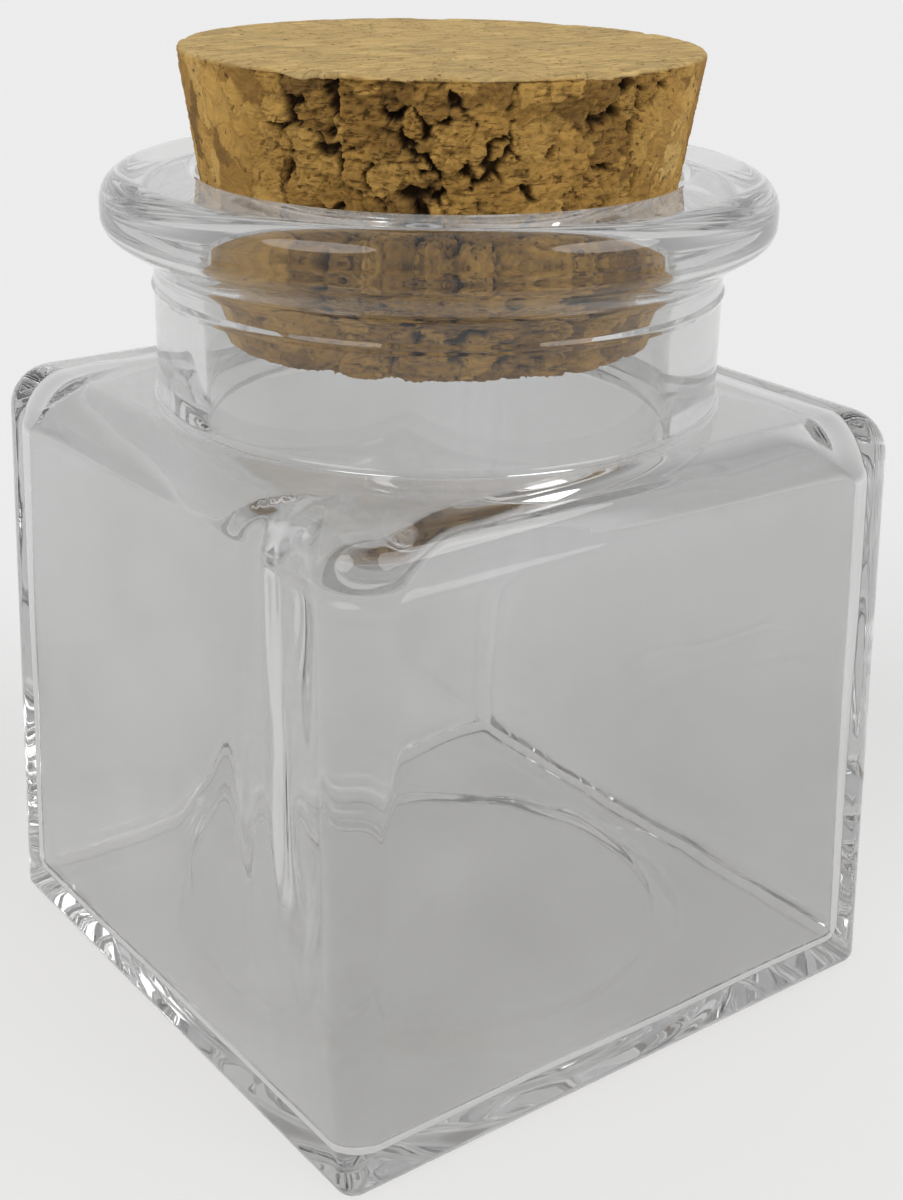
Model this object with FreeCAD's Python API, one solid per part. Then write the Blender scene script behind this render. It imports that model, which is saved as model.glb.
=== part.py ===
import FreeCAD
import Part
import math
import os

# Square storage jar of clear moulded glass, closed by a tapered stopper of agglomerated cork.
# Millimetres, +Z up. The origin is the centre of the base, on the surface that the jar stands on.
# The four panels face +X, -X, +Y and -Y, and lean in a little from the base to the shoulder.

# Glass body: flat panels and a flat shoulder, with rolled edges all round.
# The upright corners are sharpest at the base.
BASE_WIDTH = 60.0
SHOULDER_WIDTH = 58.0
SHOULDER_HEIGHT = 55.6
SHOULDER_EDGE_ROUND = 3.9
CORNER_EXTRA_ROUND = 0.3
BASE_EDGE_ROUND = 1.3
BASE_CORNER_EXTRA_ROUND = 0.5

# Walls of the glass body. The inside is blown: it follows the outside, with softly rounded edges.
PANEL_WALL = 2.0
FLOOR_THICKNESS = 2.6
SHOULDER_WALL = 2.8
INSIDE_FLOOR_ROUND = 1.8
INSIDE_CEILING_ROUND = 3.6
INSIDE_CORNER_EXTRA_ROUND = 0.2
INSIDE_FLOOR_LAND = 1.8

# Push-up under the base: a round hollow with a sloped rim, inside a flat bearing surface.
# The inside floor rises over it.
BEARING_WIDTH = 4.7
PUSH_UP_RIM_WIDTH = 3.0
PUSH_UP_RIM_HEIGHT = 1.2
PUSH_UP_CROWN = 0.8

# Neck: a straight round wall above the shoulder, with a fine parting ridge left by the mould.
NECK_HEIGHT = 12.0
NECK_WALL = 4.1
NECK_ROOT_ROUND = 0.6
NECK_ROOT_LAND = 0.1
INSIDE_NECK_ROUND = 2.0
PARTING_RIDGE_DROP = 2.2
PARTING_RIDGE_WIDTH = 0.9
PARTING_RIDGE_HEIGHT = 0.25

# Lip: a thick rolled rim with a sloped underside.
LIP_OVERHANG = 4.2
LIP_UNDER_RISE = 2.8
LIP_EDGE_HEIGHT = 4.5
LIP_TOP_ROUND = 2.5
LIP_UNDER_ROUND = 1.8
LIP_ROOT_ROUND = 1.2
MOUTH_ROUND = 1.2

# Cork stopper: a plain tapered plug that wedges on the rounded mouth and stands proud of the lip.
CORK_LENGTH = 23.5
CORK_PROUD = 9.9
CORK_TAPER_DEGREES = 8.8
CORK_TOP_ROUND = 0.4
CORK_BOTTOM_ROUND = 0.8
SEAT_CLEARANCE = 0.1

# One overrun serves every cut, so that no two faces coincide.
CUT_OVERRUN = 2.0

# Sizes that follow from the ones above.
base_half = BASE_WIDTH / 2
shoulder_half = SHOULDER_WIDTH / 2
corner_round = SHOULDER_EDGE_ROUND + CORNER_EXTRA_ROUND
base_corner_round = BASE_EDGE_ROUND + BASE_CORNER_EXTRA_ROUND
shoulder_ledge = SHOULDER_EDGE_ROUND + NECK_ROOT_LAND + NECK_ROOT_ROUND
neck_radius = shoulder_half - shoulder_ledge
bore_radius = neck_radius - NECK_WALL
lip_radius = neck_radius + LIP_OVERHANG
lip_root_height = SHOULDER_HEIGHT + NECK_HEIGHT
lip_edge_bottom = lip_root_height + LIP_UNDER_RISE
mouth_height = lip_edge_bottom + LIP_EDGE_HEIGHT
ceiling_height = SHOULDER_HEIGHT - SHOULDER_WALL
floor_corner_round = INSIDE_FLOOR_ROUND + INSIDE_CORNER_EXTRA_ROUND
ceiling_corner_round = INSIDE_CEILING_ROUND + INSIDE_CORNER_EXTRA_ROUND
push_up_radius = base_half - BASE_EDGE_ROUND - BEARING_WIDTH

AXIS_POINT = FreeCAD.Vector(0, 0, 0)
AXIS = FreeCAD.Vector(0, 0, 1)
FULL_TURN = 360
QUARTER_TURN = 90
LEVEL_TOLERANCE = 1e-6


def section_point(radius, height):
    """A point of a turned profile, which is drawn in the XZ plane."""
    return FreeCAD.Vector(radius, 0, height)


def rounded_wire(corners):
    """A closed profile through (radius, height, round) corners, with an arc wherever the round isn't zero."""
    points = [section_point(radius, height) for radius, height, _ in corners]
    stretches = []
    for index, (_, _, arc_radius) in enumerate(corners):
        corner = points[index]
        if not arc_radius:
            stretches.append((corner, corner, corner))
            continue
        to_last = (points[index - 1] - corner).normalize()
        to_next = (points[(index + 1) % len(points)] - corner).normalize()
        half_angle = to_last.getAngle(to_next) / 2
        setback = arc_radius / math.tan(half_angle)
        inward = (to_last + to_next).normalize()
        reach = arc_radius / math.sin(half_angle) - arc_radius
        stretches.append((corner + to_last * setback, corner + inward * reach, corner + to_next * setback))
    edges = []
    for index, (start, middle, end) in enumerate(stretches):
        if start != end:
            edges.append(Part.Arc(start, middle, end).toShape())
        next_start = stretches[(index + 1) % len(stretches)][0]
        edges.append(Part.LineSegment(end, next_start).toShape())
    return Part.Wire(edges)


def turned(wire):
    """The solid that a closed profile sweeps in one turn about the jar's axis."""
    return Part.Face(wire).revolve(AXIS_POINT, AXIS, FULL_TURN)


def panel_distance(height):
    """How far the outside of a panel stands from the axis at a height."""
    return base_half + (shoulder_half - base_half) * height / SHOULDER_HEIGHT


def square_wire(half_side, corner, height):
    """A level square centred on the axis, with rounded corners."""
    straight = half_side - corner
    reach = straight + corner * math.sqrt(0.5)
    side_start = FreeCAD.Vector(half_side, -straight, height)
    side_end = FreeCAD.Vector(half_side, straight, height)
    arc_middle = FreeCAD.Vector(reach, reach, height)
    arc_end = FreeCAD.Vector(straight, half_side, height)
    points = (side_start, side_end, arc_middle, arc_end)
    edges = []
    for turn in range(4):
        quarter = FreeCAD.Rotation(AXIS, turn * QUARTER_TURN)
        start, end, middle, next_start = [quarter.multVec(point) for point in points]
        edges.append(Part.LineSegment(start, end).toShape())
        edges.append(Part.Arc(end, middle, next_start).toShape())
    return Part.Wire(edges)


def level_edges(shape, height):
    """All edges that lie in one level plane."""
    found = []
    for edge in shape.Edges:
        lowest_gap = abs(edge.BoundBox.ZMin - height)
        highest_gap = abs(edge.BoundBox.ZMax - height)
        if max(lowest_gap, highest_gap) < LEVEL_TOLERANCE:
            found.append(edge)
    return found


def level_circle(shape, radius, height):
    """The full circle of one radius about the axis, in one level plane."""
    for edge in level_edges(shape, height):
        if isinstance(edge.Curve, Part.Circle) and abs(edge.Curve.Radius - radius) < LEVEL_TOLERANCE:
            return edge
    raise ValueError("no circle of radius %.3f at height %.3f" % (radius, height))


def panelled_block(wall, bottom, top, corners, bottom_round, top_round):
    """A block bounded by the four leaning panels, set in by a wall, with all its edges rounded.

    The rounds of the upright corners go evenly from the first of two corners, at the bottom, to the second.
    """
    lower = square_wire(panel_distance(bottom) - wall, corners[0], bottom)
    upper = square_wire(panel_distance(top) - wall, corners[1], top)
    block = Part.makeLoft([lower, upper], True, True)
    block = block.makeFillet(bottom_round, level_edges(block, bottom))
    return block.makeFillet(top_round, level_edges(block, top))


def neck_and_lip():
    """The outside of the neck and lip as one turned plug, rooted inside the shoulder."""
    ridge_middle = lip_root_height - PARTING_RIDGE_DROP
    half_ridge = PARTING_RIDGE_WIDTH / 2
    return turned(rounded_wire([
        (0, ceiling_height, 0),
        (neck_radius, ceiling_height, 0),
        (neck_radius, ridge_middle - half_ridge, 0),
        (neck_radius + PARTING_RIDGE_HEIGHT, ridge_middle, 0),
        (neck_radius, ridge_middle + half_ridge, 0),
        (neck_radius, lip_root_height, LIP_ROOT_ROUND),
        (lip_radius, lip_edge_bottom, LIP_UNDER_ROUND),
        (lip_radius, mouth_height, LIP_TOP_ROUND),
        (0, mouth_height, 0),
    ]))


def domed_plug(radius, height):
    """A turned plug whose top, from one radius and height on, is a sloped rim and a shallow dome."""
    rim_top_radius = radius - PUSH_UP_RIM_WIDTH
    rim_top_height = height + PUSH_UP_RIM_HEIGHT
    crown_height = rim_top_height + PUSH_UP_CROWN
    dome_radius = (rim_top_radius ** 2 + PUSH_UP_CROWN ** 2) / (2 * PUSH_UP_CROWN)
    dome_centre = section_point(0, crown_height - dome_radius)
    half_way = math.asin(rim_top_radius / dome_radius) / 2
    dome_middle = dome_centre + section_point(math.sin(half_way), math.cos(half_way)) * dome_radius
    below_axis = section_point(0, height - CUT_OVERRUN)
    below_rim = section_point(radius, height - CUT_OVERRUN)
    rim_bottom = section_point(radius, height)
    rim_top = section_point(rim_top_radius, rim_top_height)
    crown = section_point(0, crown_height)
    return turned(Part.Wire([
        Part.LineSegment(below_axis, below_rim).toShape(),
        Part.LineSegment(below_rim, rim_bottom).toShape(),
        Part.LineSegment(rim_bottom, rim_top).toShape(),
        Part.Arc(rim_top, dome_middle, crown).toShape(),
        Part.LineSegment(crown, below_axis).toShape(),
    ]))


def inside_space():
    """The room inside the jar: the blown cavity and the straight bore of the neck, open at the top."""
    cavity = panelled_block(PANEL_WALL, FLOOR_THICKNESS, ceiling_height, (floor_corner_round, ceiling_corner_round),
                            INSIDE_FLOOR_ROUND, INSIDE_CEILING_ROUND)
    floor_inset = PANEL_WALL + INSIDE_FLOOR_ROUND + INSIDE_FLOOR_LAND
    floor_rise = domed_plug(panel_distance(FLOOR_THICKNESS) - floor_inset, FLOOR_THICKNESS)
    bore_bottom = ceiling_height - CUT_OVERRUN
    bore_length = mouth_height + CUT_OVERRUN - bore_bottom
    bore = Part.makeCylinder(bore_radius, bore_length, section_point(0, bore_bottom), AXIS)
    return cavity.cut(floor_rise).fuse(bore)


def glass_jar():
    """The jar is one piece of glass: body, neck and lip are moulded together."""
    outside = panelled_block(0, 0, SHOULDER_HEIGHT, (base_corner_round, corner_round),
                             BASE_EDGE_ROUND, SHOULDER_EDGE_ROUND)
    push_up = domed_plug(push_up_radius, 0)
    glass = outside.fuse(neck_and_lip()).cut(inside_space()).cut(push_up).removeSplitter()
    glass = glass.makeFillet(NECK_ROOT_ROUND, [level_circle(glass, neck_radius, SHOULDER_HEIGHT)])
    glass = glass.makeFillet(INSIDE_NECK_ROUND, [level_circle(glass, bore_radius, ceiling_height)])
    return glass.makeFillet(MOUTH_ROUND, [level_circle(glass, bore_radius, mouth_height)])


def cork_stopper():
    """The stopper's taper lies against the rounded mouth all round, a hair clear of it."""
    taper = math.radians(CORK_TAPER_DEGREES)
    seat_reach = MOUTH_ROUND + SEAT_CLEARANCE
    seat_radius = bore_radius + MOUTH_ROUND - seat_reach * math.cos(taper)
    seat_height = mouth_height - MOUTH_ROUND + seat_reach * math.sin(taper)
    top = mouth_height + CORK_PROUD
    bottom = top - CORK_LENGTH
    top_radius = seat_radius + (top - seat_height) * math.tan(taper)
    bottom_radius = seat_radius - (seat_height - bottom) * math.tan(taper)
    return turned(rounded_wire([
        (0, bottom, 0),
        (bottom_radius, bottom, CORK_BOTTOM_ROUND),
        (top_radius, top, CORK_TOP_ROUND),
        (0, top, 0),
    ]))


def write_part(name, shape):
    """Writes one piece to its own file and prints what it measures."""
    shape.exportStep(os.path.join("parts", name + ".step"))
    box = shape.optimalBoundingBox()
    print("%s: %d solid, valid %s, %.0f mm3" % (name, len(shape.Solids), shape.isValid(), shape.Volume))
    print("    %.2f x %.2f mm, z %.2f to %.2f" % (box.XLength, box.YLength, box.ZMin, box.ZMax))


os.makedirs("parts", exist_ok=True)
write_part("glass_jar", glass_jar())
write_part("cork_stopper", cork_stopper())
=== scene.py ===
import math

import bpy
import numpy as np
from mathutils import Matrix, Vector, kdtree, noise


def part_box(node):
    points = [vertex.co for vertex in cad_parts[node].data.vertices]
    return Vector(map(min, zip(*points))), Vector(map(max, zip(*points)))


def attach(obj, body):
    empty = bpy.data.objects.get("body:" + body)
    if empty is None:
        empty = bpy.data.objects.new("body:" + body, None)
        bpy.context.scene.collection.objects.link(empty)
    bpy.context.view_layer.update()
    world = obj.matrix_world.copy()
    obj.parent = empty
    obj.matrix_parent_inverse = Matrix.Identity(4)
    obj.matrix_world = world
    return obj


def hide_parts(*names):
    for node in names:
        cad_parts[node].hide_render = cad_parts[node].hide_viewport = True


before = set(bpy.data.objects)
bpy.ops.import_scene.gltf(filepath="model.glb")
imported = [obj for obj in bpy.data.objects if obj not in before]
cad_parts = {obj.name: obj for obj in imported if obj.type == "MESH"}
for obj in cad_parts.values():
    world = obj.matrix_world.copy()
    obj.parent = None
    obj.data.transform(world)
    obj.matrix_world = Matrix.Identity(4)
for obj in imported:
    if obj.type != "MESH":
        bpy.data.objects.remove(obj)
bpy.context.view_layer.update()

# Glass jar: one piece of soda-lime glass with a square body, a round neck and a thick rolled lip. It is blown
# in a mould, which gives the outside flat panels and rolled edges. The inside met only air, so it is rounder
# and it waves. Sizes are in millimetres, and those that the solid has too are the same.
MM = 0.001
BASE_WIDTH = 60.0
SHOULDER_WIDTH = 58.0
SHOULDER_HEIGHT = 55.6
SHOULDER_EDGE_ROUND = 3.9
CORNER_ROUND = 4.2
BASE_CORNER_ROUND = 1.8
BASE_EDGE_ROUND = 1.3
PANEL_WALL = 2.0
FLOOR_THICKNESS = 2.6
SHOULDER_WALL = 2.8
INSIDE_FLOOR_ROUND = 1.8
INSIDE_CEILING_ROUND = 3.6
INSIDE_CORNER_ROUND = 3.8
FLOOR_CORNER_ROUND = 2.0
CEILING_CORNER_SPREAD = 1.2
INSIDE_FLOOR_LAND = 1.8
PUSH_UP_RADIUS = 24.0
PUSH_UP_RIM_WIDTH = 3.0
PUSH_UP_RIM_HEIGHT = 1.2
PUSH_UP_CROWN = 0.8
PUSH_UP_ROUND = 2.0
NECK_HEIGHT = 12.0
NECK_RADIUS = 24.4
NECK_ROOT_ROUND = 0.6
NECK_ROOT_LAND = 0.1
BORE_RADIUS = 20.3
INSIDE_NECK_ROUND = 2.0
PARTING_RIDGE_DROP = 2.2
PARTING_RIDGE_WIDTH = 0.9
PARTING_RIDGE_HEIGHT = 0.25
PARTING_RIDGE_ROUND = 0.3
LIP_RADIUS = 28.6
LIP_UNDER_RISE = 2.8
LIP_TOP_ROUND = 2.5
LIP_UNDER_ROUND = 1.8
LIP_ROOT_ROUND = 1.2
MOUTH_ROUND = 1.2

base_half = BASE_WIDTH / 2
shoulder_half = SHOULDER_WIDTH / 2
mouth_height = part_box("glass_jar")[1].z / MM
ceiling_height = SHOULDER_HEIGHT - SHOULDER_WALL
lip_root_height = SHOULDER_HEIGHT + NECK_HEIGHT
lip_edge_bottom = lip_root_height + LIP_UNDER_RISE

# Spacing of the mesh: straight runs, the rings of a dome, the first ring round a middle, the turn in one step
# of an arc and its fewest steps, the steps along one side, round one corner and from square to circle, and
# how far a level stretch goes on past the round beside it.
RUN_STEP = 1.0
DOME_STEP = 2.0
MIDDLE_RING = 1.0
ARC_STEP = math.radians(6)
ARC_FEWEST_STEPS = 3
SIDE_STEPS = 72
CORNER_STEPS = 24
MORPH_STEPS = 12
ROUND_REACH = 1.1
QUARTER = math.pi / 2


def along(corners, step=RUN_STEP):
    """Points along a profile through (reach, height, round) corners, with an arc where there is a round."""
    points = []
    for index, (reach, height, arc_radius) in enumerate(corners):
        corner = Vector((reach, height))
        stretch = [corner]
        if arc_radius:
            to_last = (Vector(corners[index - 1][:2]) - corner).normalized()
            to_next = (Vector(corners[index + 1][:2]) - corner).normalized()
            half_angle = to_last.angle(to_next) / 2
            centre = corner + (to_last + to_next).normalized() * (arc_radius / math.sin(half_angle))
            first = (corner + to_last * (arc_radius / math.tan(half_angle)) - centre).normalized()
            last = (corner + to_next * (arc_radius / math.tan(half_angle)) - centre).normalized()
            turns = max(ARC_FEWEST_STEPS, round((math.pi - 2 * half_angle) / ARC_STEP))
            stretch = [centre + first.slerp(last, turn / turns) * arc_radius for turn in range(turns + 1)]
        if points:
            run = stretch[0] - points[-1]
            pieces = max(1, round(run.length / step))
            points += [points[-1] + run * piece / pieces for piece in range(1, pieces)]
        points += stretch
    return points


def panel_distance(height):
    """How far the outside of a panel stands from the axis: the panels lean in a little."""
    return base_half + (shoulder_half - base_half) * height / SHOULDER_HEIGHT


def square_rows(points, wall, corners, spreads):
    """Rings (half, corner, height) of a body with four leaning panels, from the points of its profile.

    The two corners and spreads are those at the bottom and at the top. A spread tells how much rounder a
    corner gets for each millimetre that a ring is set in from the panels.
    """
    heights = [height for _, height in points]
    rows = []
    for half, height in points:
        inset = panel_distance(height) - wall - half
        share = (height - min(heights)) / (max(heights) - min(heights))
        corner = corners[0] + (corners[1] - corners[0]) * share
        spread = spreads[0] + (spreads[1] - spreads[0]) * share
        rows.append((half, max(corner + spread * inset, 0), height))
    return rows


def round_rows(points):
    """Rings of a turned form: the corner of each ring is as large as the ring."""
    return [(radius, radius, height) for radius, height in points]


def morph_rows(first, last):
    """The rings that lie between two rings, where a square turns into a circle."""
    shares = [step / MORPH_STEPS for step in range(1, MORPH_STEPS)]
    return [tuple(a + (b - a) * share for a, b in zip(first, last)) for share in shares]


def ring_reach(half, corner, angles):
    """How far a square with rounded corners reaches from its middle in each direction."""
    folded = np.abs((angles + QUARTER / 2) % QUARTER - QUARTER / 2)
    straight = half - corner
    total = np.cos(folded) + np.sin(folded)
    difference = np.cos(folded) - np.sin(folded)
    in_corner = straight * total + np.sqrt(np.maximum(corner ** 2 - (straight * difference) ** 2, 0))
    return np.where(np.tan(folded) * half <= straight, half / np.cos(folded), in_corner)


def loft(name, rows, angles):
    """A closed skin through rings, from the underside's middle on, with a fan of triangles at each end."""
    rings = []
    for half, corner, height in rows:
        reach = ring_reach(half, corner, angles)
        level = np.full_like(angles, height)
        rings.append(np.stack([reach * np.cos(angles), reach * np.sin(angles), level], axis=1))
    count = len(angles)
    ends = np.array([(0, 0, rows[0][2]), (0, 0, rows[-1][2])])
    points = np.concatenate(rings + [ends]) * MM
    first = np.arange(len(rows) - 1)[:, None] * count
    here = np.arange(count)[None, :]
    beside = (here + 1) % count
    quads = np.stack([first + here, first + beside, first + count + beside, first + count + here], axis=-1)
    low_middle = len(points) - 2
    top_row = (len(rows) - 1) * count
    faces = quads.reshape(-1, 4).tolist()
    faces += [(low_middle, int(b), int(a)) for a, b in zip(here[0], beside[0])]
    faces += [(low_middle + 1, int(a), int(b)) for a, b in zip(top_row + here[0], top_row + beside[0])]
    mesh = bpy.data.meshes.new(name)
    mesh.from_pydata(points.tolist(), [], faces)
    mesh.shade_smooth()
    piece = bpy.data.objects.new(name, mesh)
    bpy.context.scene.collection.objects.link(piece)
    return piece


def places_and_normals(piece):
    """The vertices of a mesh and the directions that its skin faces there, as two tables."""
    places = np.empty(len(piece.data.vertices) * 3, np.float32)
    normals = np.empty_like(places)
    piece.data.vertices.foreach_get("co", places)
    piece.data.vertex_normals.foreach_get("vector", normals)
    return places.reshape(-1, 3).astype(float), normals.reshape(-1, 3).astype(float)


def waves(places, length):
    """Smooth noise from -1 to 1 at each place, with humps about one length (in millimetres) apart."""
    return np.array([noise.noise(Vector(place)) for place in places / (length * MM)])


def rising_floor(radius, height):
    """Points of the push-up's form from the middle out: a low dome, a sloped rim and a narrow level ring."""
    rim_top = radius - PUSH_UP_RIM_WIDTH
    rim_height = height + PUSH_UP_RIM_HEIGHT
    dome = [Vector((reach, rim_height + PUSH_UP_CROWN * (1 - (reach / rim_top) ** 2)))
            for reach in np.arange(MIDDLE_RING, rim_top - PUSH_UP_RIM_WIDTH / 2, DOME_STEP)]
    rim = along([(*dome[-1], 0), (rim_top, rim_height, PUSH_UP_ROUND), (radius, height, PUSH_UP_ROUND),
                 (radius + INSIDE_FLOOR_LAND / 2, height, 0)])
    return dome[:-1] + rim


# The rings of the outside: push-up, bearing surface, panels, shoulder, neck with parting ridge, lip, mouth.
push_up = rising_floor(PUSH_UP_RADIUS, 0)
panels = along([(base_half - 2 * BASE_EDGE_ROUND, 0, 0), (base_half, 0, BASE_EDGE_ROUND),
                (shoulder_half, SHOULDER_HEIGHT, SHOULDER_EDGE_ROUND),
                (NECK_RADIUS + NECK_ROOT_ROUND + NECK_ROOT_LAND, SHOULDER_HEIGHT, 0)])[:-1]
ridge_middle = lip_root_height - PARTING_RIDGE_DROP
half_ridge = PARTING_RIDGE_WIDTH / 2
ridge_reach = NECK_RADIUS + PARTING_RIDGE_HEIGHT
finish = along([(NECK_RADIUS + NECK_ROOT_ROUND + NECK_ROOT_LAND / 2, SHOULDER_HEIGHT, 0),
                (NECK_RADIUS, SHOULDER_HEIGHT, NECK_ROOT_ROUND),
                (NECK_RADIUS, ridge_middle - half_ridge, PARTING_RIDGE_ROUND),
                (ridge_reach, ridge_middle, PARTING_RIDGE_ROUND),
                (NECK_RADIUS, ridge_middle + half_ridge, PARTING_RIDGE_ROUND),
                (NECK_RADIUS, lip_root_height, LIP_ROOT_ROUND),
                (LIP_RADIUS, lip_edge_bottom, LIP_UNDER_ROUND),
                (LIP_RADIUS, mouth_height, LIP_TOP_ROUND),
                (BORE_RADIUS, mouth_height, MOUTH_ROUND),
                (BORE_RADIUS, ceiling_height, INSIDE_NECK_ROUND),
                (BORE_RADIUS + ROUND_REACH * INSIDE_NECK_ROUND, ceiling_height, 0)])

# The rings of the inside: ceiling under the shoulder, blown walls, and a floor that rises over the push-up.
inside_half = panel_distance(ceiling_height) - PANEL_WALL
floor_half = panel_distance(FLOOR_THICKNESS) - PANEL_WALL
walls = along([(inside_half - ROUND_REACH * INSIDE_CEILING_ROUND, ceiling_height, 0),
               (inside_half, ceiling_height, INSIDE_CEILING_ROUND),
               (floor_half, FLOOR_THICKNESS, INSIDE_FLOOR_ROUND),
               (floor_half - ROUND_REACH * INSIDE_FLOOR_ROUND, FLOOR_THICKNESS, 0)])
inside_floor = rising_floor(floor_half - INSIDE_FLOOR_ROUND - INSIDE_FLOOR_LAND, FLOOR_THICKNESS)[::-1]

push_up_rows = round_rows(push_up)
panel_rows = square_rows(panels, 0, (BASE_CORNER_ROUND, CORNER_ROUND), (-1, -1))
finish_rows = round_rows(finish)
wall_rows = square_rows(walls, PANEL_WALL, (FLOOR_CORNER_ROUND, INSIDE_CORNER_ROUND),
                        (-1, CEILING_CORNER_SPREAD))
floor_rows = round_rows(inside_floor)
jar_rows = push_up_rows + morph_rows(push_up_rows[-1], panel_rows[0])
jar_rows += panel_rows + morph_rows(panel_rows[-1], finish_rows[0]) + finish_rows
first_inside_row = len(jar_rows)
jar_rows += morph_rows(finish_rows[-1], wall_rows[0]) + wall_rows
jar_rows += morph_rows(wall_rows[-1], floor_rows[0]) + floor_rows

# The directions of the rings' points: even steps along each side of the body and round each corner.
straight_half = base_half - CORNER_ROUND
side_angles = np.arctan2(np.linspace(-straight_half, straight_half, SIDE_STEPS, endpoint=False), base_half)
corner_turns = np.linspace(0, QUARTER, CORNER_STEPS, endpoint=False)
corner_angles = np.arctan2(straight_half + CORNER_ROUND * np.sin(corner_turns),
                           straight_half + CORNER_ROUND * np.cos(corner_turns))
quarter_angles = np.concatenate([side_angles, corner_angles])
jar_angles = np.concatenate([quarter_angles + QUARTER * turn for turn in range(4)])
glass_jar = loft("jar_glass", jar_rows, jar_angles)

# Waves of the blown inside: long swells and short ripples, none at the neck.
SWELL_LENGTH = 15.0
SWELL_HEIGHT = 0.18
RIPPLE_LENGTH = 5.5
RIPPLE_HEIGHT = 0.02
WAVE_START = 5.0

# The hot glass gathered beside the corner between the -X and -Y panels. There it is thicker towards the
# shoulder, with folds that run up and down.
GATHER_TURN = math.radians(-153)
GATHER_SPREAD = math.radians(12)
GATHER_HEIGHT = 1.2
GATHER_FADE = 22.0
FOLD_WIDTH = 4.5
FOLD_LENGTH = 16.0
FOLD_HEIGHT = 0.6

places, normals = places_and_normals(glass_jar)
inner = np.arange(len(places)) >= first_inside_row * len(jar_angles)
underside_middle = -2
inner[underside_middle] = False
depth_below_ceiling = ceiling_height - places[inner, 2] / MM
beside_neck = np.hypot(places[inner, 0], places[inner, 1]) / MM - BORE_RADIUS - INSIDE_NECK_ROUND
wavy = np.clip(np.maximum(depth_below_ceiling, beside_neck) / WAVE_START, 0, 1)
swells = SWELL_HEIGHT * waves(places[inner], SWELL_LENGTH)
ripples = RIPPLE_HEIGHT * waves(places[inner], RIPPLE_LENGTH)
turned_away = np.arctan2(places[inner, 1], places[inner, 0]) - GATHER_TURN
turned_away = (turned_away + math.pi) % (2 * math.pi) - math.pi
above_floor = np.clip((places[inner, 2] / MM - FLOOR_THICKNESS) / GATHER_FADE, 0, 1)
gathered = np.exp(-(turned_away / GATHER_SPREAD) ** 2) * wavy * above_floor
folds = waves(places[inner] * (1, 1, FOLD_WIDTH / FOLD_LENGTH), FOLD_WIDTH)
thicker = (swells + ripples) * wavy + gathered * (GATHER_HEIGHT + FOLD_HEIGHT * folds)
places[inner] += normals[inner] * thicker[:, None] * MM
glass_jar.data.vertices.foreach_set("co", places.astype(np.float32).ravel())
glass_jar.data.update()


def linear(hex_colour):
    """A colour written as sRGB hex, in the linear values that the shaders use."""
    shares = [int(hex_colour[place:place + 2], 16) / 255 for place in (1, 3, 5)]
    return [s / 12.92 if s <= 0.04045 else ((s + 0.055) / 1.055) ** 2.4 for s in shares] + [1.0]


def add_node(tree, kind, inputs=None, stops=None, **settings):
    """Adds one node: settings are its properties, inputs its values or links, stops a ramp's colours."""
    made = tree.nodes.new(kind)
    for name, value in settings.items():
        setattr(made, name, value)
    for socket, value in (inputs or {}).items():
        if isinstance(value, bpy.types.NodeSocket):
            tree.links.new(value, made.inputs[socket])
        else:
            made.inputs[socket].default_value = value
    for index, (position, colour) in enumerate(stops or []):
        ramp = made.color_ramp.elements
        stop = ramp[index] if index < 2 else ramp.new(position)
        stop.position = position
        stop.color = linear(colour)
    return made


def new_material(name):
    """An empty material and its node tree."""
    material = bpy.data.materials.new(name)
    material.use_nodes = True
    material.node_tree.nodes.clear()
    return material, material.node_tree


# Clear soda-lime glass, moulded: it shows what lies behind it, bent, with a faint grey cast and a skin that
# isn't quite even, so that reflections swim a little.
GLASS_CAST = [(0.35, "#e2e2e2"), (0.65, "#dbdbda")]
GLASS_CAST_SIZE = 20.0
GLASS_IOR = 1.52
GLASS_ROUGHNESS = 0.008
LIT_THROUGH = "#fbfbfb"
GLASS_DEPTH_SHADE = "#8c8f8f"
GLASS_DEPTH_DENSITY = 5.0
MOULD_SKIN_SIZE = 4.0
MOULD_SKIN_HEIGHT = 0.004

glass, tree = new_material("clear_soda_lime_glass")
coordinates = add_node(tree, "ShaderNodeTexCoord")
cast_noise = add_node(tree, "ShaderNodeTexNoise",
                      {"Vector": coordinates.outputs["Object"], "Scale": 1 / (GLASS_CAST_SIZE * MM),
                       "Detail": 2.0})
cast = add_node(tree, "ShaderNodeValToRGB", {"Fac": cast_noise.outputs["Fac"]}, GLASS_CAST)
skin_noise = add_node(tree, "ShaderNodeTexNoise",
                      {"Vector": coordinates.outputs["Object"], "Scale": 1 / (MOULD_SKIN_SIZE * MM),
                       "Detail": 1.0})
skin = add_node(tree, "ShaderNodeBump",
                {"Height": skin_noise.outputs["Fac"], "Strength": 1.0, "Distance": MOULD_SKIN_HEIGHT * MM})
shader = add_node(tree, "ShaderNodeBsdfPrincipled",
                  {"Base Color": cast.outputs["Color"], "IOR": GLASS_IOR, "Roughness": GLASS_ROUGHNESS,
                   "Transmission Weight": 1.0, "Normal": skin.outputs["Normal"]})
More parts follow.
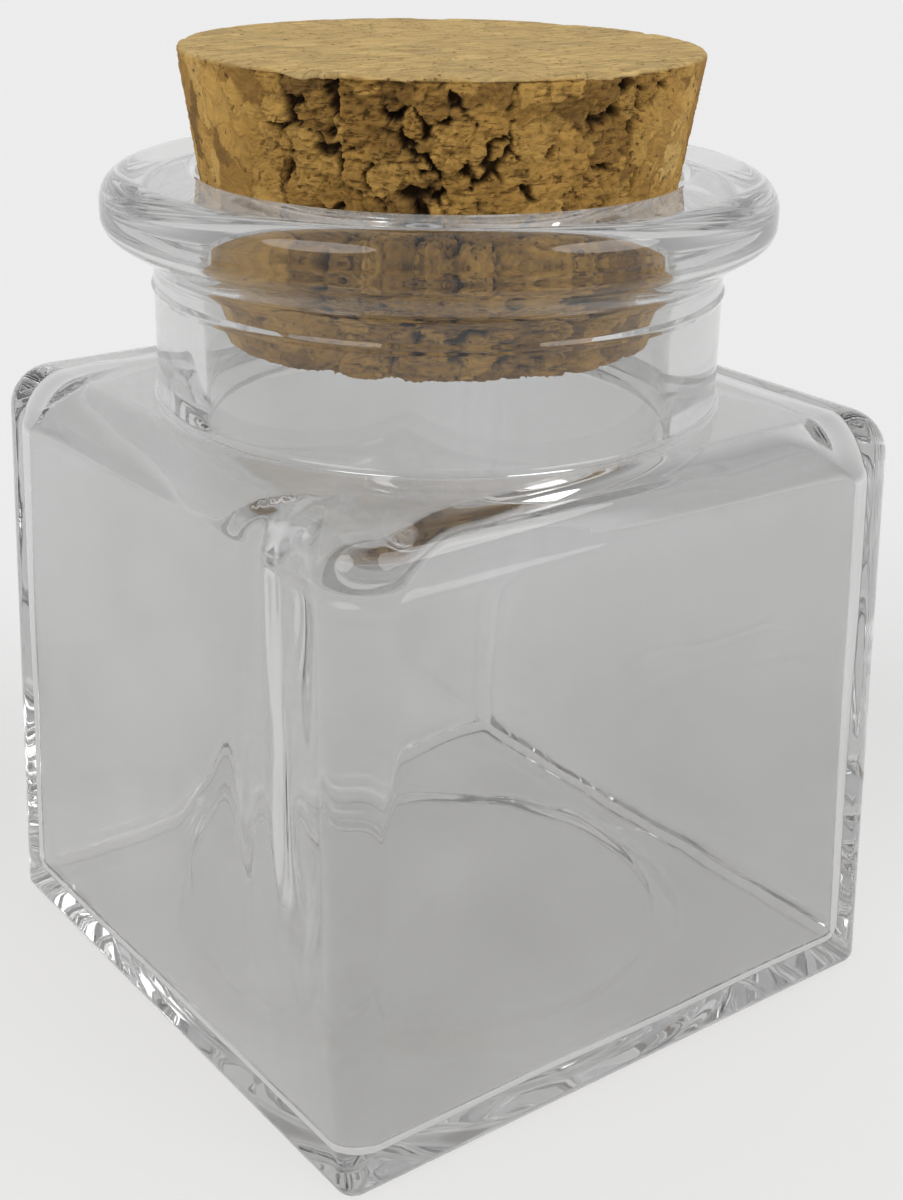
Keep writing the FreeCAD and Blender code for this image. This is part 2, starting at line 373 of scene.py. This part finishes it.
# What stands in or behind the jar is lit straight through the glass, as through a window pane.
ray = add_node(tree, "ShaderNodeLightPath")
lights_others = add_node(tree, "ShaderNodeMath",
                         {0: ray.outputs["Is Shadow Ray"], 1: ray.outputs["Is Diffuse Ray"]},
                         operation="MAXIMUM")
pane = add_node(tree, "ShaderNodeBsdfTransparent", {"Color": linear(LIT_THROUGH)})
glass_or_pane = add_node(tree, "ShaderNodeMixShader",
                         {0: lights_others.outputs["Value"], 1: shader.outputs["BSDF"],
                          2: pane.outputs["BSDF"]})
deep = add_node(tree, "ShaderNodeVolumeAbsorption",
                {"Color": linear(GLASS_DEPTH_SHADE), "Density": GLASS_DEPTH_DENSITY})
add_node(tree, "ShaderNodeOutputMaterial",
         {"Surface": glass_or_pane.outputs["Shader"], "Volume": deep.outputs["Volume"]})

glass_jar.data.materials.append(glass)
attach(glass_jar, "jar")
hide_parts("glass_jar")

# Cork stopper: granules of cork bark, pressed and glued into a block, then ground to a taper and sanded flat
# on top. Grinding tears the granules open, most of all on one side, and leaves gaps where some fell out.
# It wedges in the jar's mouth and nothing else holds it.
CORK_TOP_RADIUS = 21.9
CORK_BOTTOM_RADIUS = 18.27
CORK_TOP_ROUND = 0.4
CORK_BOTTOM_ROUND = 0.8
CORK_ROUND_STEPS = 700
CORK_SIDE_STEP = 0.2
CORK_FACE_STEP = 0.5
CORK_SEED = 11

cork_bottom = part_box("cork_stopper")[0].z / MM
cork_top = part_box("cork_stopper")[1].z / MM
cork_side = along([(CORK_BOTTOM_RADIUS - 2 * CORK_BOTTOM_ROUND, cork_bottom, 0),
                   (CORK_BOTTOM_RADIUS, cork_bottom, CORK_BOTTOM_ROUND),
                   (CORK_TOP_RADIUS, cork_top, CORK_TOP_ROUND),
                   (CORK_TOP_RADIUS - 2 * CORK_TOP_ROUND, cork_top, 0)], CORK_SIDE_STEP)
under_face = along([(MIDDLE_RING, cork_bottom, 0), (*cork_side[0], 0)], CORK_FACE_STEP)[:-1]
top_face = along([(*cork_side[-1], 0), (MIDDLE_RING, cork_top, 0)], CORK_FACE_STEP)[1:]
cork_angles = np.linspace(0, 2 * math.pi, CORK_ROUND_STEPS, endpoint=False)
cork = loft("stopper_cork", round_rows(under_face + cork_side + top_face), cork_angles)

# Granules: cells around scattered middles, some larger than others, with ragged borders. Bark splits in thin
# layers, and in more of the granules they lie level than upright.
GRANULE_PITCH = 2.6
GRANULE_LARGEST_EXTRA = 1.5
RAGGED_REACH = 0.75
RAGGED_LENGTH = 1.3
RAGGED_SEED = 3
NEIGHBOURS = 12
LEVEL_SHARE = 0.5

draw = np.random.default_rng(CORK_SEED)
steps_across = np.arange(-CORK_TOP_RADIUS, CORK_TOP_RADIUS + GRANULE_PITCH, GRANULE_PITCH)
steps_up = np.arange(cork_bottom - GRANULE_PITCH, cork_top + GRANULE_PITCH, GRANULE_PITCH)
middles = np.stack(np.meshgrid(steps_across, steps_across, steps_up), axis=-1).reshape(-1, 3)
middles = middles + draw.uniform(-0.5, 0.5, middles.shape) * GRANULE_PITCH
extra_size = GRANULE_LARGEST_EXTRA * draw.uniform(0, 1, len(middles)) ** 2
tone = draw.uniform(0, 1, len(middles))
sunk = draw.uniform(0, 1, len(middles)) ** 2
flaky = draw.uniform(0, 1, len(middles))
layer_axis = draw.normal(0, 1, middles.shape) * (1 - LEVEL_SHARE) + np.array((0, 0, LEVEL_SHARE))
layer_axis /= np.linalg.norm(layer_axis, axis=1)[:, None]

granule_tree = kdtree.KDTree(len(middles))
for index, middle in enumerate(middles):
    granule_tree.insert(middle, index)
granule_tree.balance()
places, normals = places_and_normals(cork)
# Vector noise follows the clock unless it has a seed.
noise.seed_set(RAGGED_SEED)
ragged = np.array([noise.noise_vector(Vector(place)) for place in places / (RAGGED_LENGTH * MM)])
spots = places / MM + ragged * RAGGED_REACH
hits = np.array([[(index, distance) for _, index, distance in granule_tree.find_n(spot, NEIGHBOURS)]
                 for spot in spots])
candidates = hits[:, :, 0].astype(int)
reach = hits[:, :, 1] - extra_size[candidates]
order = np.argsort(reach, axis=1)[:, :3]
nearest = np.take_along_axis(candidates, order, axis=1)[:, 0]
first, second, third = np.take_along_axis(reach, order, axis=1).T
from_middle = spots - middles[nearest]
along_layers = np.einsum("ij,ij->i", from_middle, layer_axis[nearest])

# How torn the skin is, from 0 to 1: a common share and patches everywhere, more on the side that faces the
# corner between the -X and -Y panels, less behind, and least on the sanded top. The fade is between cosines
# of the turn away from that side.
TORN_TURN = math.radians(-119)
TORN_FADE_START = 0.62
TORN_FADE_WIDTH = 0.3
TORN_BEHIND = -0.4
TORN_COMMON = 0.28
TORN_FACING = 0.6
TORN_PATCHES = 0.8
TORN_LENGTH = 8.0
TORN_LEAST = 0.06
TOP_FACE_SHARE = 0.1

# What the tearing does: sunk granules, flakes along the layers, splinters, gaps between granules, holes where
# three of them meet, chips along the top rim and a fine grain. Patches are a share covered and a contrast.
# A shift, in metres, keeps two patterns of one length apart.
GRANULE_STEP = 0.15
FLAKE_PITCH = 0.75
FLAKE_HEIGHT = 0.36
FLAKE_WARP = 0.5
SPLINTER_SIZE = (1.5, 1.5, 0.42)
SPLINTER_FRACTAL = (0.35, 2.1, 4)
SPLINTER_LEVEL = 0.4
SPLINTER_CONTRAST = 0.7
SPLINTER_MOST = 1.5
SPLINTER_HEIGHT = 0.6
CREVICE_DEPTH = 0.1
CREVICE_WIDTH = 0.22
CREVICE_PATCHES = (0.2, 1.8)
CREVICE_SHIFT = 2.0
HOLE_DEPTH = 1.4
HOLE_WIDTH = 0.75
HOLE_LEAST_WIDTH = 0.01
HOLE_SPACING = 2.7
HOLE_PATCHES = (0.3, 1.7)
HOLE_SHIFT = 1.0
CHIP_DEPTH = 0.8
CHIP_LENGTH = 2.0
CHIP_REACH = 0.8
CHIP_PATCHES = (0.1, 2.0)
FINE_LENGTH = 0.5
FINE_HEIGHT = 0.05
FINE_COMMON = 0.3


def patches(places, length, share, contrast):
    """Patches from 0 to 1, about one length apart: a larger share covers more, more contrast is harder."""
    return np.clip(share + contrast * waves(places, length), 0, 1)


faces_up = np.clip(normals[:, 2], 0, 1)
around = np.arctan2(places[:, 1], places[:, 0])
facing = np.clip((np.cos(around - TORN_TURN) - TORN_FADE_START) / TORN_FADE_WIDTH, TORN_BEHIND, 1)
torn = TORN_COMMON + TORN_PATCHES * waves(places, TORN_LENGTH) + TORN_FACING * facing
torn = np.clip(torn, TORN_LEAST, 1)
from_side = CORK_TOP_RADIUS - np.hypot(places[:, 0], places[:, 1]) / MM
from_rim = np.hypot(from_side, cork_top - places[:, 2] / MM)
chips = patches(places, CHIP_LENGTH, *CHIP_PATCHES) * np.exp(-(from_rim / CHIP_REACH) ** 2) * torn
torn *= 1 - (1 - TOP_FACE_SHARE) * faces_up
open_border = patches(places + CREVICE_SHIFT, HOLE_SPACING, *CREVICE_PATCHES)
crevice = np.clip(1 - (second - first) / CREVICE_WIDTH, 0, 1) ** 2 * open_border
hole_width = HOLE_WIDTH * patches(places + HOLE_SHIFT, HOLE_SPACING, *HOLE_PATCHES) * torn
hole = np.clip(1 - (third - first) / np.maximum(hole_width, HOLE_LEAST_WIDTH), 0, 1) ** 0.5
splinter_places = places / MM / SPLINTER_SIZE
splinters = np.array([noise.fractal(Vector(place), *SPLINTER_FRACTAL) for place in splinter_places])
splinters = np.clip(SPLINTER_LEVEL - SPLINTER_CONTRAST * splinters, 0, SPLINTER_MOST)
layers = (along_layers + FLAKE_WARP * waves(places, SPLINTER_SIZE[0])) / FLAKE_PITCH
flakes = (layers - np.floor(layers)) * flaky[nearest]
fine = 0.5 + 0.5 * waves(places, FINE_LENGTH)
broken = (GRANULE_STEP * sunk[nearest] + FLAKE_HEIGHT * flakes + SPLINTER_HEIGHT * splinters
          + CREVICE_DEPTH * crevice)
depth = torn * (broken + HOLE_DEPTH * hole) + CHIP_DEPTH * chips
depth = np.clip(depth + FINE_HEIGHT * fine * (FINE_COMMON + torn), 0, None)
places -= normals * depth[:, None] * MM
cork.data.vertices.foreach_set("co", places.astype(np.float32).ravel())
cork.data.update()

# What the cork's finish needs to know at each point: its granule's tone, which is darker where it is torn
# (partly browner bark, partly painted shade of the rough skin), how deep it lies, for the painted shade in
# recesses, if it is sanded, how torn it is, and where it lies across the granule's layers.
# How much darker a torn granule's tone is: partly browner bark, partly painted shade of its rough skin.
TORN_DARKER = 0.4
# Shares that holes, crevices, sunk granules and splinter valleys give to the painted shade in recesses.
RECESS_SHADE_CREVICE = 0.5
RECESS_SHADE_SUNK = 0.2
RECESS_SHADE_SPLINTER = 0.7
RECESS_SHADE_SPLINTER_START = 0.45

# Painted shade: the colour is darkened where the skin lies deep, in holes, crevices, sunk granules and
# splinter valleys.
hollow = torn * (hole + RECESS_SHADE_CREVICE * crevice + RECESS_SHADE_SUNK * sunk[nearest]
                 + RECESS_SHADE_SPLINTER * np.clip(splinters - RECESS_SHADE_SPLINTER_START, 0, 1))
point_values = {"tone": tone[nearest] * (1 - TORN_DARKER * torn), "hollow": np.clip(hollow, 0, 1),
                "sanded": faces_up, "torn": torn, "layer": along_layers * MM}
for name, values in point_values.items():
    attribute = cork.data.attributes.new(name, "FLOAT", "POINT")
    attribute.data.foreach_set("value", values.astype(np.float32))

# Agglomerated cork: dry, matt and tan, each granule with its own tone and layers, with dark pores, and with
# painted shade in cracks and deep in gaps.
# Tones stand at their places on a ramp, the two ends first. A range is of a pattern's values, and a share or
# shade is what its two ends give.
CORK_TONES = [(0.0, "#846434"), (1.0, "#d0ab66"), (0.15, "#a17a3d"), (0.45, "#b88f4a"), (0.8, "#c59c54")]
CORK_SANDED = "#dfc48a"
SANDED_SHARE = 0.62
SANDING_TURN = math.radians(37.2)
SANDING_WIDTH = 0.6
SANDING_LENGTH = 4.5
LAYER_WIDTH = 0.25
LAYER_WANDER = 2.0
MARK_RANGE = (0.3, 0.7)
MARK_SHADE = (0.66, 1.18)
# The dark brown of the pores, which is also the colour of the painted shade in cracks.
CORK_PORE_AND_CRACK_SHADE = "#54391c"
PORE_SIZE = 0.7
PORE_RANGE = (0.3, 0.37)
PORE_SHARE = (0.8, 0.0)
CRACK_SIZE = (1.1, 1.1, 0.25)
CRACK_RANGE = (0.34, 0.46)
CRACK_SHADE_SHARE = (0.9, 0.0)
# The colour of the painted shade deep in gaps, holes and splinter valleys.
CORK_RECESS_SHADE = "#26180b"
RECESS_SHADE_RANGE = (0.05, 0.7)
RECESS_SHADE_SHARE = (0.0, 0.95)
GRAIN_STRENGTH = 0.8
GRAIN_HEIGHT = 0.25
CORK_ROUGHNESS = 0.9
CORK_SPECULAR = 0.2


def fade(tree, value, limits, results):
    """A value that goes from one result to the other as the given one goes from one limit to the other."""
    made = add_node(tree, "ShaderNodeMapRange",
                    {"Value": value, "From Min": limits[0], "From Max": limits[1],
                     "To Min": results[0], "To Max": results[1]})
    return made.outputs["Result"]


def blend(tree, share, under, over):
    """A colour that goes from the one under to the one over as the share goes from 0 to 1."""
    made = add_node(tree, "ShaderNodeMix", {"Factor": share, "A": under, "B": over}, data_type="RGBA")
    return made.outputs["Result"]


cork_finish, tree = new_material("agglomerated_cork")
coordinates = add_node(tree, "ShaderNodeTexCoord")
point = {name: add_node(tree, "ShaderNodeAttribute", attribute_name=name).outputs["Fac"]
         for name in point_values}
granules = add_node(tree, "ShaderNodeValToRGB", {"Fac": point["tone"]}, CORK_TONES)
sanded_share = add_node(tree, "ShaderNodeMath", {0: point["sanded"], 1: SANDED_SHARE}, operation="MULTIPLY")
sanded = blend(tree, sanded_share.outputs["Value"], granules.outputs["Color"], linear(CORK_SANDED))

# Fine marks: streaks along the bark's layers, and on the sanded top those of the sanding.
wander = add_node(tree, "ShaderNodeVectorMath",
                  {0: coordinates.outputs["Object"], "Scale": 1 / (LAYER_WANDER * MM)}, operation="SCALE")
layer_count = add_node(tree, "ShaderNodeMath", {0: point["layer"], 1: 1 / (LAYER_WIDTH * MM)},
                       operation="MULTIPLY")
streaks = add_node(tree, "ShaderNodeTexNoise",
                   {"Vector": wander.outputs["Vector"], "W": layer_count.outputs["Value"], "Scale": 1.0,
                    "Detail": 3.0, "Roughness": 0.6}, noise_dimensions="4D")
sanding_place = add_node(tree, "ShaderNodeMapping",
                         {"Vector": coordinates.outputs["Object"], "Rotation": (0, 0, SANDING_TURN),
                          "Scale": (1 / (SANDING_LENGTH * MM), 1 / (SANDING_WIDTH * MM), 1)})
sanding = add_node(tree, "ShaderNodeTexNoise",
                   {"Vector": sanding_place.outputs["Vector"], "Scale": 1.0, "Detail": 4.0,
                    "Roughness": 0.65})
marks = add_node(tree, "ShaderNodeMix",
                 {"Factor": point["sanded"], "A": streaks.outputs["Fac"], "B": sanding.outputs["Fac"]},
                 data_type="FLOAT")
mark_shade = fade(tree, marks.outputs["Result"], MARK_RANGE, MARK_SHADE)
streaked = add_node(tree, "ShaderNodeVectorMath", {0: sanded, "Scale": mark_shade}, operation="SCALE")

# Dark spots: pores everywhere, painted shade in cracks where the cork is torn, and painted shade on what lies
# deep in a gap, a hole, a sunk granule or a splinter valley.
pores = add_node(tree, "ShaderNodeTexNoise",
                 {"Vector": coordinates.outputs["Object"], "Scale": 1 / (PORE_SIZE * MM), "Detail": 2.0,
                  "Roughness": 0.55})
pore_share = fade(tree, pores.outputs["Fac"], PORE_RANGE, PORE_SHARE)
pored = blend(tree, pore_share, streaked.outputs["Vector"], linear(CORK_PORE_AND_CRACK_SHADE))
# Painted shade: thin dark lines where cracks in the torn skin would hold shade.
crack_place = add_node(tree, "ShaderNodeVectorMath",
                       {0: coordinates.outputs["Object"], 1: [1 / (size * MM) for size in CRACK_SIZE]},
                       operation="MULTIPLY")
cracks = add_node(tree, "ShaderNodeTexNoise",
                  {"Vector": crack_place.outputs["Vector"], "Scale": 1.0, "Detail": 4.0, "Roughness": 0.6,
                   "Distortion": 0.4})
crack_shade_amount = fade(tree, cracks.outputs["Fac"], CRACK_RANGE, CRACK_SHADE_SHARE)
crack_shade_share = add_node(tree, "ShaderNodeMath", {0: crack_shade_amount, 1: point["torn"]}, operation="MULTIPLY")
crack_shaded = blend(tree, crack_shade_share.outputs["Value"], pored, linear(CORK_PORE_AND_CRACK_SHADE))
recess_shaded = blend(tree, fade(tree, point["hollow"], RECESS_SHADE_RANGE, RECESS_SHADE_SHARE), crack_shaded, linear(CORK_RECESS_SHADE))

grain = add_node(tree, "ShaderNodeMath", {0: streaks.outputs["Fac"], 1: cracks.outputs["Fac"]},
                 operation="ADD")
relief = add_node(tree, "ShaderNodeBump",
                  {"Height": grain.outputs["Value"], "Strength": GRAIN_STRENGTH,
                   "Distance": GRAIN_HEIGHT * MM})
shader = add_node(tree, "ShaderNodeBsdfPrincipled",
                  {"Base Color": recess_shaded, "Roughness": CORK_ROUGHNESS, "Normal": relief.outputs["Normal"],
                   "Specular IOR Level": CORK_SPECULAR})
add_node(tree, "ShaderNodeOutputMaterial", {"Surface": shader.outputs["BSDF"]})

cork.data.materials.append(cork_finish)
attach(cork, "stopper")
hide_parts("cork_stopper")

# Floor: a wide round sheet of matt white paper that the jar stands on. It lies a hair below the jar's base,
# so that the two skins don't meet.
FLOOR_RADIUS = 4000.0
FLOOR_SIDES = 128
FLOOR_DROP = 0.02
PAPER_WHITE = "#fbfbfb"

bpy.ops.mesh.primitive_circle_add(vertices=FLOOR_SIDES, radius=FLOOR_RADIUS * MM, fill_type="NGON",
                                  location=(0, 0, -FLOOR_DROP * MM))
floor = bpy.context.object
floor.name = "paper_floor"
# Matt white paper: it scatters light evenly and shines nowhere.
paper, tree = new_material("matt_white_paper")
shader = add_node(tree, "ShaderNodeBsdfPrincipled",
                  {"Base Color": linear(PAPER_WHITE), "Roughness": 1.0, "Specular IOR Level": 0.0})
add_node(tree, "ShaderNodeOutputMaterial", {"Surface": shader.outputs["BSDF"]})
floor.data.materials.append(paper)

# Studio: a white room that fades to grey overhead, and two soft lamps high up at the left and right of the
# camera. A lamp's numbers are its turn and rise in degrees and its strength. The fade is between two rises,
# as the sine of each.
ROOM_WHITE = "#f6f6f6"
ROOM_OVERHEAD = "#a8a8a8"
ROOM_FADE = (0.1, 0.8)
ROOM_LIGHT = 0.6
LAMP_SPREAD = math.radians(34)
LAMPS = {"left_lamp": (-173, 40, 0.8), "right_lamp": (-61, 38, 0.8)}

world = bpy.data.worlds.new("white_room")
world.use_nodes = True
tree = world.node_tree
tree.nodes.clear()
bpy.context.scene.world = world
direction = add_node(tree, "ShaderNodeTexCoord")
parts_of_direction = add_node(tree, "ShaderNodeSeparateXYZ", {"Vector": direction.outputs["Generated"]})
room_colour = add_node(tree, "ShaderNodeValToRGB", {"Fac": parts_of_direction.outputs["Z"]},
                       [(ROOM_FADE[0], ROOM_WHITE), (ROOM_FADE[1], ROOM_OVERHEAD)])
ray = add_node(tree, "ShaderNodeLightPath")
camera_or_glossy = add_node(tree, "ShaderNodeMath",
                            {0: ray.outputs["Is Camera Ray"], 1: ray.outputs["Is Glossy Ray"]},
                            operation="ADD")
seen = add_node(tree, "ShaderNodeMath",
                {0: camera_or_glossy.outputs["Value"], 1: ray.outputs["Is Transmission Ray"]},
                operation="ADD", use_clamp=True)
shown_room = add_node(tree, "ShaderNodeBackground", {"Color": room_colour.outputs["Color"], "Strength": 1.0})
lighting_room = add_node(tree, "ShaderNodeBackground", {"Color": linear(ROOM_WHITE), "Strength": ROOM_LIGHT})
room = add_node(tree, "ShaderNodeMixShader",
                {0: seen.outputs["Value"], 1: lighting_room.outputs["Background"],
                 2: shown_room.outputs["Background"]})
add_node(tree, "ShaderNodeOutputWorld", {"Surface": room.outputs["Shader"]})

for name, (turn, rise, strength) in LAMPS.items():
    lamp = bpy.data.lights.new(name, "SUN")
    lamp.energy = strength
    lamp.angle = LAMP_SPREAD
    holder = bpy.data.objects.new(name, lamp)
    bpy.context.scene.collection.objects.link(holder)
    across = math.cos(math.radians(rise))
    towards = Vector((math.cos(math.radians(turn)) * across, math.sin(math.radians(turn)) * across,
                      math.sin(math.radians(rise))))
    holder.rotation_mode = "QUATERNION"
    holder.rotation_quaternion = towards.to_track_quat("Z", "Y")

# Camera: a little above the lip, turned to the front corner of the jar, and close, for a strong perspective.
CAMERA_TURN = math.radians(-37.19)
CAMERA_RISE = math.radians(22.93)
CAMERA_ROLL = math.radians(1.02)
CAMERA_DISTANCE = 170.83
CAMERA_LENS = 55.04
AIM_HEIGHT = 34.94
AIM_ASIDE = 1.62

back = Vector((math.sin(CAMERA_TURN) * math.cos(CAMERA_RISE), -math.cos(CAMERA_TURN) * math.cos(CAMERA_RISE),
               math.sin(CAMERA_RISE)))
level_right = Vector((math.cos(CAMERA_TURN), math.sin(CAMERA_TURN), 0))
level_up = back.cross(level_right)
right = level_right * math.cos(CAMERA_ROLL) + level_up * math.sin(CAMERA_ROLL)
up = level_up * math.cos(CAMERA_ROLL) - level_right * math.sin(CAMERA_ROLL)
aim = Vector((0, 0, AIM_HEIGHT)) + right * AIM_ASIDE
camera = bpy.data.objects.new("camera", bpy.data.cameras.new("camera"))
bpy.context.scene.collection.objects.link(camera)
camera.data.lens = CAMERA_LENS
camera.data.clip_start = MM
stand = Matrix.Translation((aim + back * CAMERA_DISTANCE) * MM)
camera.matrix_world = stand @ Matrix((right, up, back)).transposed().to_4x4()
bpy.context.scene.camera = camera

# Thick glass sends light through many faces before it comes out.
LIGHT_BOUNCES = 40

bpy.context.scene.cycles.max_bounces = LIGHT_BOUNCES
bpy.context.scene.cycles.glossy_bounces = LIGHT_BOUNCES
bpy.context.scene.cycles.transmission_bounces = LIGHT_BOUNCES
bpy.context.scene.view_settings.view_transform = "Standard"
